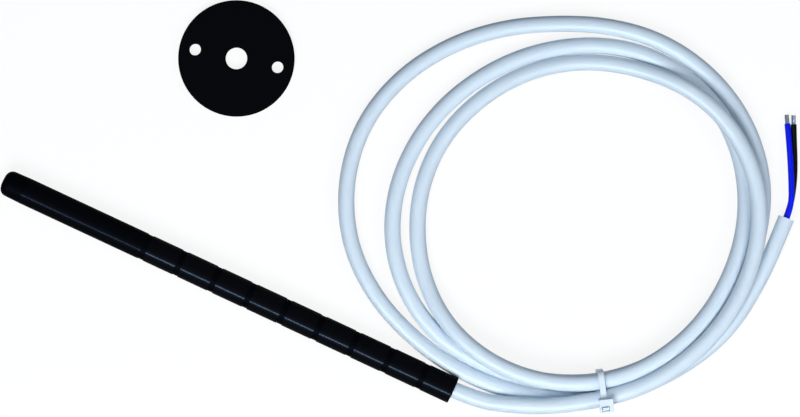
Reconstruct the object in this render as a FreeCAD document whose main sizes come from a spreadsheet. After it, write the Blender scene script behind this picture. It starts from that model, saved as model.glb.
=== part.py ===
import FreeCAD, Part
import math
import os
import re

import Sketcher
from FreeCAD import Placement, Rotation, Vector

# Duct temperature sensor: a slim closed tube with the sensing element in its tip, a round
# two-core cable that is coiled and tied, and the loose mounting flange that grips the tube.
# Millimetres. The tube lies along X with its tip towards -X, and everything rests on Z = 0.
# The origin is on that surface, under the middle of the box round the tube and the flange.

# Driving sizes

SIZES = (
    ("probe_length", 182.0, "tube, from its tip to its open end"),
    ("probe_d", 10.0, "tube, outside"),
    ("probe_wall", 1.5, "tube, side wall"),
    ("tip_wall", 2.5, "tube, closed end, along the axis"),
    ("nose_length", 9.0, "slimmer stretch behind the tip"),
    ("nose_slim", 0.25, "what the tip's radius is short of the tube's"),
    ("nose_round", 2.8, "rounding of the tip"),
    ("bore_round", 1.2, "rounding at the bottom of the bore"),
    ("end_round", 0.3, "rounding of the open end's outer edge"),
    ("ring_first", 57.6, "first depth ring, from the tip"),
    ("ring_pitch", 14.0, "depth rings, centre to centre"),
    ("ring_width", 2.2, "depth ring, along the tube"),
    ("ring_depth", 0.2, "depth ring, into the wall"),
    ("ring_count", 9, "depth rings"),
    ("flange_d", 42.8, "flange, outside"),
    ("flange_thick", 3.0, "flange, thickness"),
    ("flange_bore", 8.0, "flange, relaxed centre hole, which stretches over the tube"),
    ("flange_round", 0.5, "flange, rim and centre hole edges"),
    ("screw_hole_d", 4.3, "flange, screw holes"),
    ("screw_pitch", 31.0, "flange, screw holes, centre to centre"),
    ("flange_along", 58.2, "flange's place, behind the tip"),
    ("flange_aside", 76.9, "flange's place, beside the tube's axis"),
    ("flange_turn", 12.9, "line of the screw holes, degrees from the tube's direction"),
    ("cable_d", 6.0, "cable jacket, outside"),
    ("jacket_inside", 16.0, "cable jacket, length inside the tube"),
    ("seal_length", 10.0, "resin ring between cable and tube"),
    ("seal_inset", 0.6, "resin ring, below the open end"),
    ("core_d", 2.2, "insulated core, outside"),
    ("core_pitch", 2.6, "the two cores inside the tube, centre to centre"),
    ("conductor_d", 1.1, "stranded conductor"),
    ("chip_gap", 1.5, "element chip, from the bore's bottom"),
    ("chip_length", 5.0, "element chip, along the tube"),
    ("chip_width", 2.0, "element chip, across"),
    ("chip_thick", 0.65, "element chip, thickness"),
    ("glaze_length", 1.8, "glass bead over the wire welds"),
    ("glaze_height", 0.7, "glass bead, above the chip"),
    ("glaze_round", 0.3, "glass bead, upper edges"),
    ("wire_d", 0.25, "element wire"),
    ("wire_pitch", 1.1, "element wires at the chip, centre to centre"),
    ("wire_weld", 1.2, "element wire, length on the chip"),
    ("wire_free", 8.0, "element wire, from the chip to its joint"),
    ("wire_straight", 2.4, "element wire, straight beyond the chip and before its joint"),
    ("joint_d", 1.7, "solder joint, thickest"),
    ("joint_neck_d", 0.8, "solder joint, where the element wire enters"),
    ("joint_taper", 0.8, "solder joint, length of each taper"),
    ("joint_length", 5.0, "solder joint"),
    ("solder_lip", 0.1, "solder, over the conductor where it ends"),
    ("core_strip", 1.0, "bare conductor between joint and insulation"),
    ("sleeve_wall", 0.18, "shrink sleeve"),
    ("sleeve_front", 2.0, "shrink sleeve, ahead of the joint"),
    ("sleeve_back", 6.0, "shrink sleeve, over the insulation"),
    ("potting_length", 24.0, "heat-conducting resin in the tip"),
    ("coil_x", 106.0, "coil's centre"),
    ("coil_y", 31.4, "coil's centre"),
    ("tie_bearing", -58.0, "direction of the tie from the coil's centre, degrees from X"),
    ("tie_radius", 64.2, "middle of the tied bundle, from the coil's centre"),
    ("strap_width", 2.2, "tie strap, along the cable"),
    ("strap_thick", 1.1, "tie strap, thickness"),
    ("strap_fit", 0.15, "tie strap, room round the bundle"),
    ("strap_corner", 2.4, "tie strap, inner bend"),
    ("head_width", 5.0, "tie head, along the cable"),
    ("head_depth", 4.8, "tie head, across the cable"),
    ("head_proud", 0.9, "tie head, beyond the strap"),
    ("head_height", 2.6, "tie head, above the strap"),
    ("head_aside", 0.5, "tie head, off the strap's middle"),
    ("head_round", 0.4, "tie head, upright edges"),
    ("slot_fit", 0.35, "tie head's slot, round the strap"),
    ("pawl_above", 0.3, "tie head's pawl, above the strap"),
    ("pawl_slant", 0.8, "tie head's pawl, height of its slant"),
    ("pawl_land", 0.4, "tie head's pawl, height of its biting edge"),
    ("stub", 0.8, "cut end of the strap, above the head"),
    ("end_bare", 3.3, "tinned conductor beyond the insulation"),
    ("end_bare_d", 1.6, "tinned conductor"),
    ("end_round_off", 0.4, "tinned conductor, rounding of its end"),
    ("floor_edge", 2.4, "coil, rounding of its lower layer"),
    ("groove_fit", 0.4, "coil, room beside the strap underneath"),
    ("ramp_foot", 5.0, "coil, height at which the upper layer's slopes end"),
    ("lead_gap", 0.4, "cable from the tube, beside the strand that it joins"),
    ("tail_gap", 0.05, "last strand, beside the third turn where it leaves the coil"),
)

# The three turns of the coil. A turn is a row of distances from the coil's centre, one each
# 30 degrees anticlockwise from the tie, for the middle of the cable. Its first and last
# values are the tied bundle's inner and outer strands, worked out below.
TURN_STEP = 30
FIRST_TURN = (66.2, 65.4, 64.1, 62.2, 57.6, 55.8, 55.6, 57.8, 60.0, 62.3, 62.4)
SECOND_TURN = (60.2, 59.3, 60.8, 63.4, 63.8, 61.8, 62.2, 65.7, 69.4, 68.8, 62.8)
THIRD_TURN = (61.4, 63.0, 67.2, 69.8, 70.2, 71.1, 78.0, 86.0, 85.0, 75.6, 68.9)

# Bearings from the tie, in degrees
TAIL_START = 20.0  # where the last strand leaves the coil
LEAD_END = -8.0  # where the cable from the tube joins the coil
SECOND_TURN_DOWN = 75.0  # where the second turn has come down to the floor
UPPER_START = -45.0  # where the upper layer begins to rise
UPPER_RISEN = -20.0
UPPER_FALLS = 115.0
UPPER_END = 150.0
WINDOW_START = 170.0  # the opening between the second and third turns
WINDOW_END = 292.0
OUTLINE_STEP = 12.0

RAMP_WIDTH = 40.0  # wide enough to reach across the upper layer
RAMP_RUN_ON = 0.5  # how far the ramp goes on past its foot, as a share of its length
LONG_EDGE = 50.0  # only the coil's edges longer than this are rounded

# Points of the free stretches of the cable, chosen by hand: from the tube's open end to the
# coil, and from the coil to the stripped end. The first and last runs are worked out.
LEAD_POINTS = ((99.0, -46.65, 5.0), (112.5, -43.2, 7.4))
LEAD_LAST_RUN = 11.0
TAIL_FIRST_RUN = 15.0
TAIL_POINTS = ((173.9, 18.0), (175.9, 36.0), (176.0, 49.5), (175.3, 62.5))
BLUE_POINTS = ((171.0, 76.0, 3.3), (167.5, 82.8, 2.7), (164.0, 89.2, 2.3), (161.2, 94.2, 1.5))
BLACK_POINTS = ((172.4, 76.4, 1.15), (169.3, 83.3, 1.15), (165.9, 89.9, 1.15), (163.4, 95.0, 1.15))
CORE_FIRST_RUN = 5.0
CORE_SPREAD = 1.15  # the cores' centres above and below the cable's, at its stripped end
RUN_SHARE = 0.45  # how much of the shorter run a bend takes

# The tube's tip and axis, and the coil, in the part's frame
TIP_X = "-probe_length / 2"
AXIS_Y = "-(flange_aside + flange_d / 2 - probe_d / 2) / 2"
AXIS_Z = "probe_d / 2"

doc = FreeCAD.newDocument("duct_temperature_sensor")
sheet = doc.addObject("Spreadsheet::Sheet", "sizes")


def fill_sheet():
    """One row for each driving size: its name, its number and what it measures."""
    for row, (alias, number, meaning) in enumerate(SIZES, start=1):
        sheet.set(f"A{row}", alias)
        sheet.set(f"B{row}", str(number))
        sheet.set(f"C{row}", meaning)
        sheet.setAlias(f"B{row}", alias)
    doc.recompute()


def cells(text):
    """An expression on the sheet's names, such as "probe_d / 2", with the sheet named."""
    aliases = {alias for alias, _, _ in SIZES}
    return re.sub(r"[a-z_]+", lambda m: f"sizes.{m[0]}" if m[0] in aliases else m[0], text)


def value(text):
    """The number that an expression on the sheet's names comes to."""
    return float(sheet.evalExpression(cells(text)))


# Helpers for sketches and features


def place(item, along="0", aside="0", up="0"):
    """Puts an item at a distance behind the tube's tip and from its axis."""
    item.setExpression("Placement.Base.x", cells(f"{TIP_X} + {along}"))
    item.setExpression("Placement.Base.y", cells(f"{AXIS_Y} + {aside}"))
    item.setExpression("Placement.Base.z", cells(f"{AXIS_Z} + {up}"))
    return item


def new_body(label):
    body = doc.addObject("PartDesign::Body", label)
    body.Label = label
    return body


def add_outline(sketch, corners):
    """A closed outline of straight lines. Corners are pairs of expressions, "0" on an axis."""
    first = sketch.GeometryCount
    spots = [Vector(value(x), value(y), 0) for x, y in corners]
    for start, end in zip(spots, spots[1:] + spots[:1]):
        sketch.addGeometry(Part.LineSegment(start, end), False)
    for i, corner in enumerate(corners):
        following = first + (i + 1) % len(corners)
        sketch.addConstraint(Sketcher.Constraint("Coincident", first + i, 2, following, 1))
        for kind, axis, text in (("DistanceX", -2, corner[0]), ("DistanceY", -1, corner[1])):
            if text == "0":
                sketch.addConstraint(Sketcher.Constraint("PointOnObject", first + i, 1, axis))
                continue
            rule = Sketcher.Constraint(kind, -1, 1, first + i, 1, value(text))
            index = sketch.addConstraint(rule)
            sketch.setExpression(f"Constraints[{index}]", cells(text))


def new_sketch(body, name, plane="XY_Plane"):
    sketch = body.newObject("Sketcher::SketchObject", name)
    support = next(item for item in body.Origin.OriginFeatures if item.Role == plane)
    sketch.AttachmentSupport = (support, [""])
    sketch.MapMode = "FlatFace"
    return sketch


def outline(body, name, corners, plane="XY_Plane"):
    sketch = new_sketch(body, name, plane)
    add_outline(sketch, corners)
    return sketch


def turned(body, name, corners, kind="PartDesign::Revolution"):
    """A half section, with radii upwards, turned about the body's X axis."""
    sketch = outline(body, f"{name}_section", corners)
    feature = body.newObject(kind, name)
    feature.Profile = sketch
    feature.ReferenceAxis = (sketch, ["H_Axis"])
    feature.Angle = 360
    doc.recompute()
    return feature


def rounded(body, name, feature, radius, chosen):
    """Rounds the edges of a feature for which chosen says yes."""
    doc.recompute()
    edges = [f"Edge{i}" for i, edge in enumerate(feature.Shape.Edges, start=1) if chosen(edge)]
    fillet = body.newObject("PartDesign::Fillet", name)
    fillet.Base = (feature, edges)
    fillet.setExpression("Radius", cells(radius))
    doc.recompute()
    return fillet


def prism(body, name, sketch, length, side_type="One side", reverse=False):
    feature = body.newObject("PartDesign::Pad", name)
    feature.Profile = sketch
    feature.SideType = side_type
    feature.setExpression("Length", cells(length))
    feature.Reversed = reverse
    doc.recompute()
    return feature


def rod(label, along, length, diameter, aside="0", up="0"):
    """A round rod along the tube."""
    item = doc.addObject("Part::Cylinder", label)
    item.Label = label
    item.setExpression("Radius", cells(f"({diameter}) / 2"))
    item.setExpression("Height", cells(length))
    item.Placement = Placement(Vector(), Rotation(Vector(0, 1, 0), 90))
    return place(item, along, aside, up)


def boolean(kind, label, base, tool):
    item = doc.addObject(kind, label)
    item.Label = label
    item.Base = base
    item.Tool = tool
    return item


def fused(label, items):
    item = doc.addObject("Part::MultiFuse", label)
    item.Shapes = items
    return item


def lies_at(x):
    """Chooses the round edges at a distance along the body's X axis."""
    return lambda edge: edge.BoundBox.XLength < 1e-4 and abs(edge.BoundBox.XMin - value(x)) < 1e-4


# The tube and what it holds


def probe_tube():
    """One moulded tube with a closed, rounded tip, a slim nose and shallow depth rings."""
    body = new_body("probe_tube")
    bore = "probe_d / 2 - probe_wall"
    corners = (
        ("0", "0"),
        ("0", "probe_d / 2 - nose_slim"),
        ("nose_length", "probe_d / 2"),
        ("probe_length", "probe_d / 2"),
        ("probe_length", bore),
        ("tip_wall", bore),
        ("tip_wall", "0"),
    )
    shell = turned(body, "tube_wall", corners)
    nose = rounded(body, "nose_rounding", shell, "nose_round", lies_at("0"))
    floor = rounded(body, "bore_rounding", nose, "bore_round", lies_at("tip_wall"))

    def outer_end(edge):
        return lies_at("probe_length")(edge) and edge.BoundBox.YMax > value(bore) + 1e-3

    rounded(body, "end_rounding", floor, "end_round", outer_end)
    before = body.Shape.Volume
    low, high = "probe_d / 2 - ring_depth", "probe_d / 2 + ring_depth"
    ring = (
        ("ring_first - ring_width / 2", low),
        ("ring_first + ring_width / 2", low),
        ("ring_first + ring_width / 2", high),
        ("ring_first - ring_width / 2", high),
    )
    groove = turned(body, "depth_ring", ring, "PartDesign::Groove")
    pattern = body.newObject("PartDesign::LinearPattern", "depth_rings")
    pattern.Originals = [groove]
    axis = next(item for item in body.Origin.OriginFeatures if item.Role == "X_Axis")
    pattern.Direction = (axis, [""])
    pattern.setExpression("Length", cells("ring_pitch * (ring_count - 1)"))
    pattern.setExpression("Occurrences", cells("ring_count"))
    body.Tip = pattern
    doc.recompute()
    check_cut("depth rings", before, body.Shape.Volume)
    return place(body)


def check_cut(what, before, after):
    """Stops if a cut took nothing away."""
    if after > before - 1e-3:
        raise RuntimeError(f"{what} cut nothing")


def rear_seal():
    """The resin ring that fixes the cable in the open end and keeps damp out."""
    body = new_body("rear_seal")
    inner, outer = "cable_d / 2", "probe_d / 2 - probe_wall"
    corners = (("0", inner), ("seal_length", inner), ("seal_length", outer), ("0", outer))
    turned(body, "resin_ring", corners)
    return place(body, "probe_length - seal_inset - seal_length")


def element_chip():
    """The thin-film resistor's ceramic chip, flat in the tip."""
    item = doc.addObject("Part::Box", "element_chip")
    item.setExpression("Length", cells("chip_length"))
    item.setExpression("Width", cells("chip_width"))
    item.setExpression("Height", cells("chip_thick"))
    return place(item, "tip_wall + chip_gap", "-chip_width / 2", "-chip_thick / 2")


def run_points(*corners):
    return [Vector(value(x), value(y), value(z)) for x, y, z in corners]


def element_wire(label, side):
    """A bare wire from its weld on the chip to the middle of its solder joint."""
    chip_end = "tip_wall + chip_gap + chip_length"
    near, far = f"{side} * wire_pitch / 2", f"{side} * core_pitch / 2"
    top = "chip_thick / 2 + wire_d / 2"
    points = run_points(
        (f"{chip_end} - wire_weld", near, top),
        (f"{chip_end} + wire_straight", near, top),
        (f"{chip_end} + wire_free - wire_straight", far, "0"),
        (f"{chip_end} + wire_free + joint_length / 2", far, "0"),
    )
    item = doc.addObject("Part::Feature", label)
    item.Label = label
    item.Shape = pipe(label, points, value("wire_d") / 2)
    return place(item)


def element_glaze(wires):
    """The glass bead that covers both welds."""
    block = doc.addObject("Part::Box", "glaze_block")
    block.setExpression("Length", cells("glaze_length"))
    block.setExpression("Width", cells("chip_width"))
    block.setExpression("Height", cells("glaze_height"))
    chip_end = "tip_wall + chip_gap + chip_length"
    place(block, f"{chip_end} - glaze_length", "-chip_width / 2", "chip_thick / 2")
    doc.recompute()
    top = block.Shape.BoundBox.ZMax
    radius = value("glaze_round")
    bead = doc.addObject("Part::Fillet", "glaze_bead")
    bead.Base = block
    bead.Edges = [
        (i, radius, radius)
        for i, edge in enumerate(block.Shape.Edges, start=1)
        if edge.BoundBox.ZMin > top - 1e-4
    ]
    return boolean("Part::Cut", "element_glaze", bead, fused("both_wires", wires))


def joint_start():
    return "tip_wall + chip_gap + chip_length + wire_free"


def solder_joint(label, side):
    """A spindle of solder, bored where the element wire and the conductor sit in it."""
    body = new_body(label)
    wire, strand = "wire_d / 2", "conductor_d / 2"
    corners = (
        ("0", wire),
        ("0", "joint_neck_d / 2"),
        ("joint_taper", "joint_d / 2"),
        ("joint_length - joint_taper", "joint_d / 2"),
        ("joint_length", f"{strand} + solder_lip"),
        ("joint_length", strand),
        ("joint_length / 2", strand),
        ("joint_length / 2", wire),
    )
    turned(body, "solder", corners)
    return place(body, joint_start(), f"{side} * core_pitch / 2")


def joint_sleeve(label, side):
    """A shrink sleeve, tight on the joint and tight on the insulation behind it."""
    body = new_body(label)
    small, large = "joint_d / 2", "core_d / 2"
    step = "sleeve_front + joint_length"
    end = f"{step} + core_strip + sleeve_back"
    corners = (
        ("0", small),
        ("0", f"{small} + sleeve_wall"),
        (step, f"{small} + sleeve_wall"),
        (f"{step} + core_strip", f"{large} + sleeve_wall"),
        (end, f"{large} + sleeve_wall"),
        (end, large),
        (f"{step} + core_strip", large),
        (step, small),
    )
    turned(body, "sleeve_wall_ring", corners)
    return place(body, f"{joint_start()} - sleeve_front", f"{side} * core_pitch / 2")


def inner_core(colour, side):
    """A core of the cable inside the tube: its conductor, and the insulation round it."""
    start = f"{joint_start()} + joint_length + core_strip"
    end = "probe_length - jacket_inside"
    aside = f"{side} * core_pitch / 2"
    jacket = rod(f"{colour}_insulation_rod", start, f"{end} - ({start})", "core_d", aside)
    hole = rod(f"{colour}_insulation_hole", start, f"{end} - ({start})", "conductor_d", aside)
    insulation = boolean("Part::Cut", f"inner_core_{colour}", jacket, hole)
    bare = f"{joint_start()} + joint_length / 2"
    strand = rod(f"conductor_{colour}", bare, f"{end} - ({bare})", "conductor_d", aside)
    return insulation, strand


def tip_potting(inside):
    """The resin that carries the duct's heat to the chip, with the hollows of what it holds."""
    body = new_body("potting_blank")
    bore = "probe_d / 2 - probe_wall"
    corners = (("0", "0"), ("0", bore), ("potting_length", bore), ("potting_length", "0"))
    blank = turned(body, "resin", corners)
    rounded(body, "resin_front", blank, "bore_round", lies_at("0"))
    place(body, "tip_wall")
    envelopes = [sleeve_envelope(side) for side in (-1, 1)]
    return boolean("Part::Cut", "tip_potting", body, fused("potted_pieces", inside + envelopes))


def sleeve_envelope(side):
    """The space that a sleeve and all that it covers take in the resin."""
    name = "left" if side > 0 else "right"
    body = new_body(f"{name}_sleeve_space")
    small, large = "joint_d / 2 + sleeve_wall", "core_d / 2 + sleeve_wall"
    step = "sleeve_front + joint_length"
    end = f"{step} + core_strip + sleeve_back"
    corners = (
        ("0", "0"),
        ("0", small),
        (step, small),
        (f"{step} + core_strip", large),
        (end, large),
        (end, "0"),
    )
    turned(body, "sleeve_space", corners)
    return place(body, f"{joint_start()} - sleeve_front", f"{side} * core_pitch / 2")


# The flange


def flange():
    """A soft round flange with a hole that grips the tube and two screw holes."""
    body = new_body("flange")
    disc = new_sketch(body, "disc_outline")
    circle(disc, "0", "flange_d / 2")
    circle(disc, "0", "flange_bore / 2")
    plate = prism(body, "disc", disc, "flange_thick")

    def rims(edge):
        return edge.BoundBox.ZLength < 1e-4

    rounded_plate = rounded(body, "disc_rounding", plate, "flange_round", rims)
    before = rounded_plate.Shape.Volume
    holes = new_sketch(body, "screw_hole_outline")
    for side in (-1, 1):
        circle(holes, "screw_pitch / 2", "screw_hole_d / 2", side)
    drilled = body.newObject("PartDesign::Pocket", "screw_holes")
    drilled.Profile = holes
    drilled.Type = "ThroughAll"
    drilled.Reversed = True
    doc.recompute()
    check_cut("screw holes", before, body.Shape.Volume)
    body.setExpression("Placement.Rotation.Angle", cells("flange_turn"))
    body.setExpression("Placement.Base.x", cells(f"{TIP_X} + flange_along"))
    body.setExpression("Placement.Base.y", cells(f"{AXIS_Y} + flange_aside"))
    return body


def circle(sketch, offset, radius, side=1):
    """A circle with its centre on the sketch's X axis, that far to the given side."""
    middle = Vector(side * value(offset), 0, 0)
    index = sketch.addGeometry(Part.Circle(middle, Vector(0, 0, 1), value(radius)), False)
    if offset == "0":
        sketch.addConstraint(Sketcher.Constraint("Coincident", index, 3, -1, 1))
    else:
        sketch.addConstraint(Sketcher.Constraint("PointOnObject", index, 3, -1))
        ends = (-1, 1, index, 3) if side > 0 else (index, 3, -1, 1)
        rule = sketch.addConstraint(Sketcher.Constraint("DistanceX", *ends, value(offset)))
        sketch.setExpression(f"Constraints[{rule}]", cells(offset))
    rule = sketch.addConstraint(Sketcher.Constraint("Radius", index, value(radius)))
    sketch.setExpression(f"Constraints[{rule}]", cells(radius))


# The cable tie


def cable_tie():
    """One nylon piece: strap, head with its slot and pawl, and the cut end through the slot."""
    body = new_body("cable_tie")
    side = "(2 * cable_d + 2 * strap_fit + 2 * strap_thick)"
    t = "strap_thick"
    head_left = f"{side} + head_proud - head_depth"
    head_base = f"{side} - {t}"
    head_top = f"{side} + head_height"
    head_corners = (
        (head_left, head_base),
        (f"{side} + head_proud", head_base),
        (f"{side} + head_proud", head_top),
        (head_left, head_top),
    )
    head_sketch = outline(body, "head_outline", head_corners, "XZ_Plane")
    head_sketch.setExpression("AttachmentOffset.Base.z", cells("head_width / 2 - head_aside"))
    head = prism(body, "head", head_sketch, "head_width", reverse=True)

    def upright(edge):
        return edge.BoundBox.ZLength > value("head_height")

    rounded(body, "head_rounding", head, "head_round", upright)
    before = body.Shape.Volume
    slot_low, slot_high = f"{side} - {t} - slot_fit", f"{side} + slot_fit"
    slot = new_sketch(body, "slot_outline")
    half = "strap_width / 2 + slot_fit"
    slot_rectangle(slot, slot_low, slot_high, half)
    opening = body.newObject("PartDesign::Pocket", "slot")
    opening.Profile = slot
    opening.Type = "ThroughAll"
    opening.Reversed = True
    doc.recompute()
    check_cut("tie slot", before, body.Shape.Volume)
    tail_top = f"{head_top} + stub"
    strap_corners = (
        ("0", "0"),
        (side, "0"),
        (side, tail_top),
        (f"{side} - {t}", tail_top),
        (f"{side} - {t}", t),
        (t, t),
        (t, f"{side} - {t}"),
        (head_left, f"{side} - {t}"),
        (head_left, side),
        ("0", side),
    )
    strap_sketch = outline(body, "strap_outline", strap_corners, "XZ_Plane")
    prism(body, "strap", strap_sketch, "strap_width", "Symmetric")
    bite_low = f"{side} + pawl_above + pawl_slant"
    pawl_corners = (
        (slot_low, f"{side} + pawl_above"),
        (f"{side} - {t}", bite_low),
        (f"{side} - {t}", f"{bite_low} + pawl_land"),
        (slot_low, f"{bite_low} + pawl_land"),
    )
    pawl_sketch = outline(body, "pawl_outline", pawl_corners, "XZ_Plane")
    pawl = prism(body, "pawl", pawl_sketch, "strap_width", "Symmetric")
    outer = (0.0, value(side))
    inner = (value(t), value(side) - value(t))

    def corner_at(xs, zs):
        def chosen(edge):
            box = edge.BoundBox
            along = box.YLength > value(t) and box.XLength < 1e-4 and box.ZLength < 1e-4
            return along and any(
                abs(box.XMin - x) < 1e-3 and abs(box.ZMin - z) < 1e-3 for x in xs for z in zs
            )

        return chosen

    bends = rounded(body, "inner_bends", pawl, "strap_corner", corner_at(inner, inner[:1]))
    top_bend = rounded(body, "top_bend", bends, "strap_corner", corner_at(inner[:1], inner[1:]))
    lower = rounded(
        body, "outer_bends", top_bend, "strap_corner + strap_thick", corner_at(outer, outer[:1])
    )
    rounded(
        body, "outer_top_bend", lower, "strap_corner + strap_thick", corner_at(outer[:1], outer[1:])
    )
    reach = f"(tie_radius - {side} / 2)"
    body.setExpression("Placement.Rotation.Angle", cells("tie_bearing"))
    body.setExpression("Placement.Base.x", cells(f"coil_x + {reach} * cos(tie_bearing * 1 deg)"))
    body.setExpression("Placement.Base.y", cells(f"coil_y + {reach} * sin(tie_bearing * 1 deg)"))
    return body


def slot_rectangle(sketch, low, high, half):
    """A rectangle astride the sketch's X axis, from low to high, half its width each side."""
    a, b, c = value(low), value(high), value(half)
    spots = [Vector(a, -c, 0), Vector(b, -c, 0), Vector(b, c, 0), Vector(a, c, 0)]
    for start, end in zip(spots, spots[1:] + spots[:1]):
        sketch.addGeometry(Part.LineSegment(start, end), False)
    rules = [("Coincident", i, 2, (i + 1) % 4, 1) for i in range(4)]
    rules += [("Horizontal", 0), ("Horizontal", 2), ("Vertical", 1)]
    rules += [("Symmetric", 0, 1, 3, 1, -1)]
    for rule in rules:
        sketch.addConstraint(Sketcher.Constraint(*rule))
    for kind, ends, text in (
        ("DistanceX", (-1, 1, 0, 1), low),
        ("DistanceX", (-1, 1, 1, 1), high),
        ("DistanceY", (1, 1, 1, 2), f"2 * ({half})"),
    ):
        index = sketch.addConstraint(Sketcher.Constraint(kind, *ends, value(text)))
        sketch.setExpression(f"Constraints[{index}]", cells(text))


# The cable and its cores


def pipe(label, points, radius):
    """A round cord along straight runs that are joined by tangent arcs."""
    edges = []
    here = points[0]
    radii = []
    for before, corner, after in zip(points, points[1:], points[2:]):
        arrive, leave = corner - before, after - corner
        reach = RUN_SHARE * min(arrive.Length, leave.Length)
        half_turn = arrive.getAngle(leave) / 2
        arrive.normalize()
        leave.normalize()
        bend = reach / math.tan(half_turn)
        radii.append(round(bend, 1))
        start, end = corner - arrive * reach, corner + leave * reach
        inwards = leave - arrive
        inwards.normalize()
        middle = corner + inwards * (bend / math.cos(half_turn) - bend)
        edges.append(Part.LineSegment(here, start).toShape())
        edges.append(Part.Arc(start, middle, end).toShape())
        here = end
    edges.append(Part.LineSegment(here, points[-1]).toShape())
    path = Part.Wire(edges)
    section = Part.Wire([Part.Circle(points[0], points[1] - points[0], radius).toShape()])
    solid = path.makePipeShell([section], True, False)
    expected = math.pi * radius**2 * path.Length
    share = abs(solid.Volume) / expected
    print(f"{label}: {path.Length:.1f} mm, {share:.4f} of its section's volume, radii {radii}")
    return solid


def between(values, bearing):
    """The value at a bearing, on a smooth curve through one value each TURN_STEP degrees."""
    place_on_row = bearing / TURN_STEP
    i = min(int(place_on_row), len(values) - 2)
    f = place_on_row - i
    a, b, c, d = (values[min(max(j, 0), len(values) - 1)] for j in (i - 1, i, i + 1, i + 2))
    bend = (2 * a - 5 * b + 4 * c - d) * f**2 + (3 * (b - c) + d - a) * f**3
    return (2 * b + (c - a) * f + bend) / 2


def turn_rows():
    """The three rows of radii, with the tied bundle's strands at both ends."""
    inner = value("tie_radius - cable_d / 2")
    outer = value("tie_radius + cable_d / 2")
    return (
        (outer, *FIRST_TURN, inner),
        (inner, *SECOND_TURN, inner),
        (inner, *THIRD_TURN, outer),
    )


def on_coil(bearing, radius, height=0.0):
    """A point at a bearing from the tie and a distance from the coil's centre."""
    angle = math.radians(value("tie_bearing") + bearing)
    return Vector(radius * math.cos(angle), radius * math.sin(angle), height)


def onwards(bearing):
    """The direction in which the turns run at a bearing."""
    angle = math.radians(value("tie_bearing") + bearing)
    return Vector(-math.sin(angle), math.cos(angle), 0)


def coil_middle():
    return Vector(value("coil_x"), value("coil_y"), 0)


def bearings(start, end):
    count = max(2, round((end - start) / OUTLINE_STEP))
    return [start + (end - start) * i / count for i in range(count + 1)]


def curve_through(points, closed=False):
    curve = Part.BSplineCurve()
    if closed:
        curve.interpolate(points[:-1], PeriodicFlag=True)
    else:
        curve.interpolate(points)
    return curve.toShape()


def band(edges, low, high):
    """A flat solid over a closed outline, from one height to another."""
    face = Part.Face(Part.Wire(Part.__sortEdges__(edges)))
    face.translate(Vector(0, 0, low))
    return face.extrude(Vector(0, 0, high - low))


def lower_layer():
    """The turns that lie on the floor, with the opening between the loose outer turns."""
    first, second, third = turn_rows()
    half, thick, tail = value("cable_d / 2"), value("cable_d"), tail_radius()
    side = []
    for bearing in bearings(TAIL_START, 360):
        side.append(on_coil(bearing, between(third, bearing) + half))
    for bearing in bearings(360, 360 + TAIL_START)[1:]:
        share = (bearing - 360) / TAIL_START
        side.append(on_coil(bearing, third[-1] + (tail - third[-1]) * share + half))
    outer = [curve_through(side), Part.LineSegment(side[-1], side[0]).toShape()]
    solid = band(outer, 0, thick)

    def inner_radius(bearing):
        return min(between(row, bearing) for row in (first, second, third)) - half

    middle = [on_coil(b, inner_radius(min(b, 359.999))) for b in bearings(0, 360)]
    hole = band([curve_through(middle, closed=True)], 0, thick)
    solid = solid.cut(hole)
    solid = soften(solid, (0, thick), value("floor_edge"))
    near = [on_coil(b, between(second, b) + half) for b in bearings(WINDOW_START, WINDOW_END)]
    far = [on_coil(b, between(third, b) - half) for b in bearings(WINDOW_START, WINDOW_END)]
    ends = [Part.LineSegment(near[i], far[i]).toShape() for i in (0, -1)]
    return solid.cut(band([curve_through(near), curve_through(far), *ends], 0, thick))


def soften(solid, heights, radius):
    """Rounds the flat solid's long edges at the given heights."""

    def chosen(edge):
        box = edge.BoundBox
        level = any(abs(box.ZMin - z) < 1e-4 and abs(box.ZMax - z) < 1e-4 for z in heights)
        return level and edge.Length > LONG_EDGE

    return solid.makeFillet(radius, [edge for edge in solid.Edges if chosen(edge)])


def tail_radius():
    """How far from the coil's centre the last strand leaves the coil, beside the third turn."""
    return between(turn_rows()[2], TAIL_START) + value("cable_d + tail_gap")


def lead_radius():
    """How far from the coil's centre the cable from the tube joins, beside the first turn."""
    return between(turn_rows()[0], 360 + LEAD_END) + value("cable_d + lead_gap")


def upper_layer():
    """The strands that lie on others round the tie, sloping down at both ends."""
    first, second, _ = turn_rows()
    half = value("cable_d / 2")
    low, top = value("cable_d"), value("strap_thick + 2 * cable_d")

    def inner_radius(bearing):
        if bearing < 0:
            return between(first, 360 + bearing) - half
        near = between(first, bearing)
        if bearing < SECOND_TURN_DOWN:
            near = min(near, between(second, bearing))
        return near - half

    step_low = on_coil(LEAD_END, between(first, 360 + LEAD_END) + half)
    step_high = on_coil(LEAD_END, lead_radius() + half)
    inside = [on_coil(b, inner_radius(b)) for b in bearings(UPPER_START, UPPER_END)]
    rising = [on_coil(b, between(first, 360 + b) + half) for b in bearings(UPPER_START, LEAD_END)]
    tied = [step_high, *(on_coil(b, between(first, b) + half) for b in bearings(0, UPPER_END))]
    edges = [curve_through(inside), curve_through(rising), curve_through(tied)]
    edges.append(Part.LineSegment(step_low, step_high).toShape())
    edges.append(Part.LineSegment(inside[0], rising[0]).toShape())
    edges.append(Part.LineSegment(inside[-1], tied[-1]).toShape())
    solid = band(edges, low, top)
    solid = soften(solid, (top,), value("floor_edge"))
    for start, end in ((UPPER_RISEN, UPPER_START), (UPPER_FALLS, UPPER_END)):
        solid = solid.cut(slope(start, end, top, value("ramp_foot")))
    return solid


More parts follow.
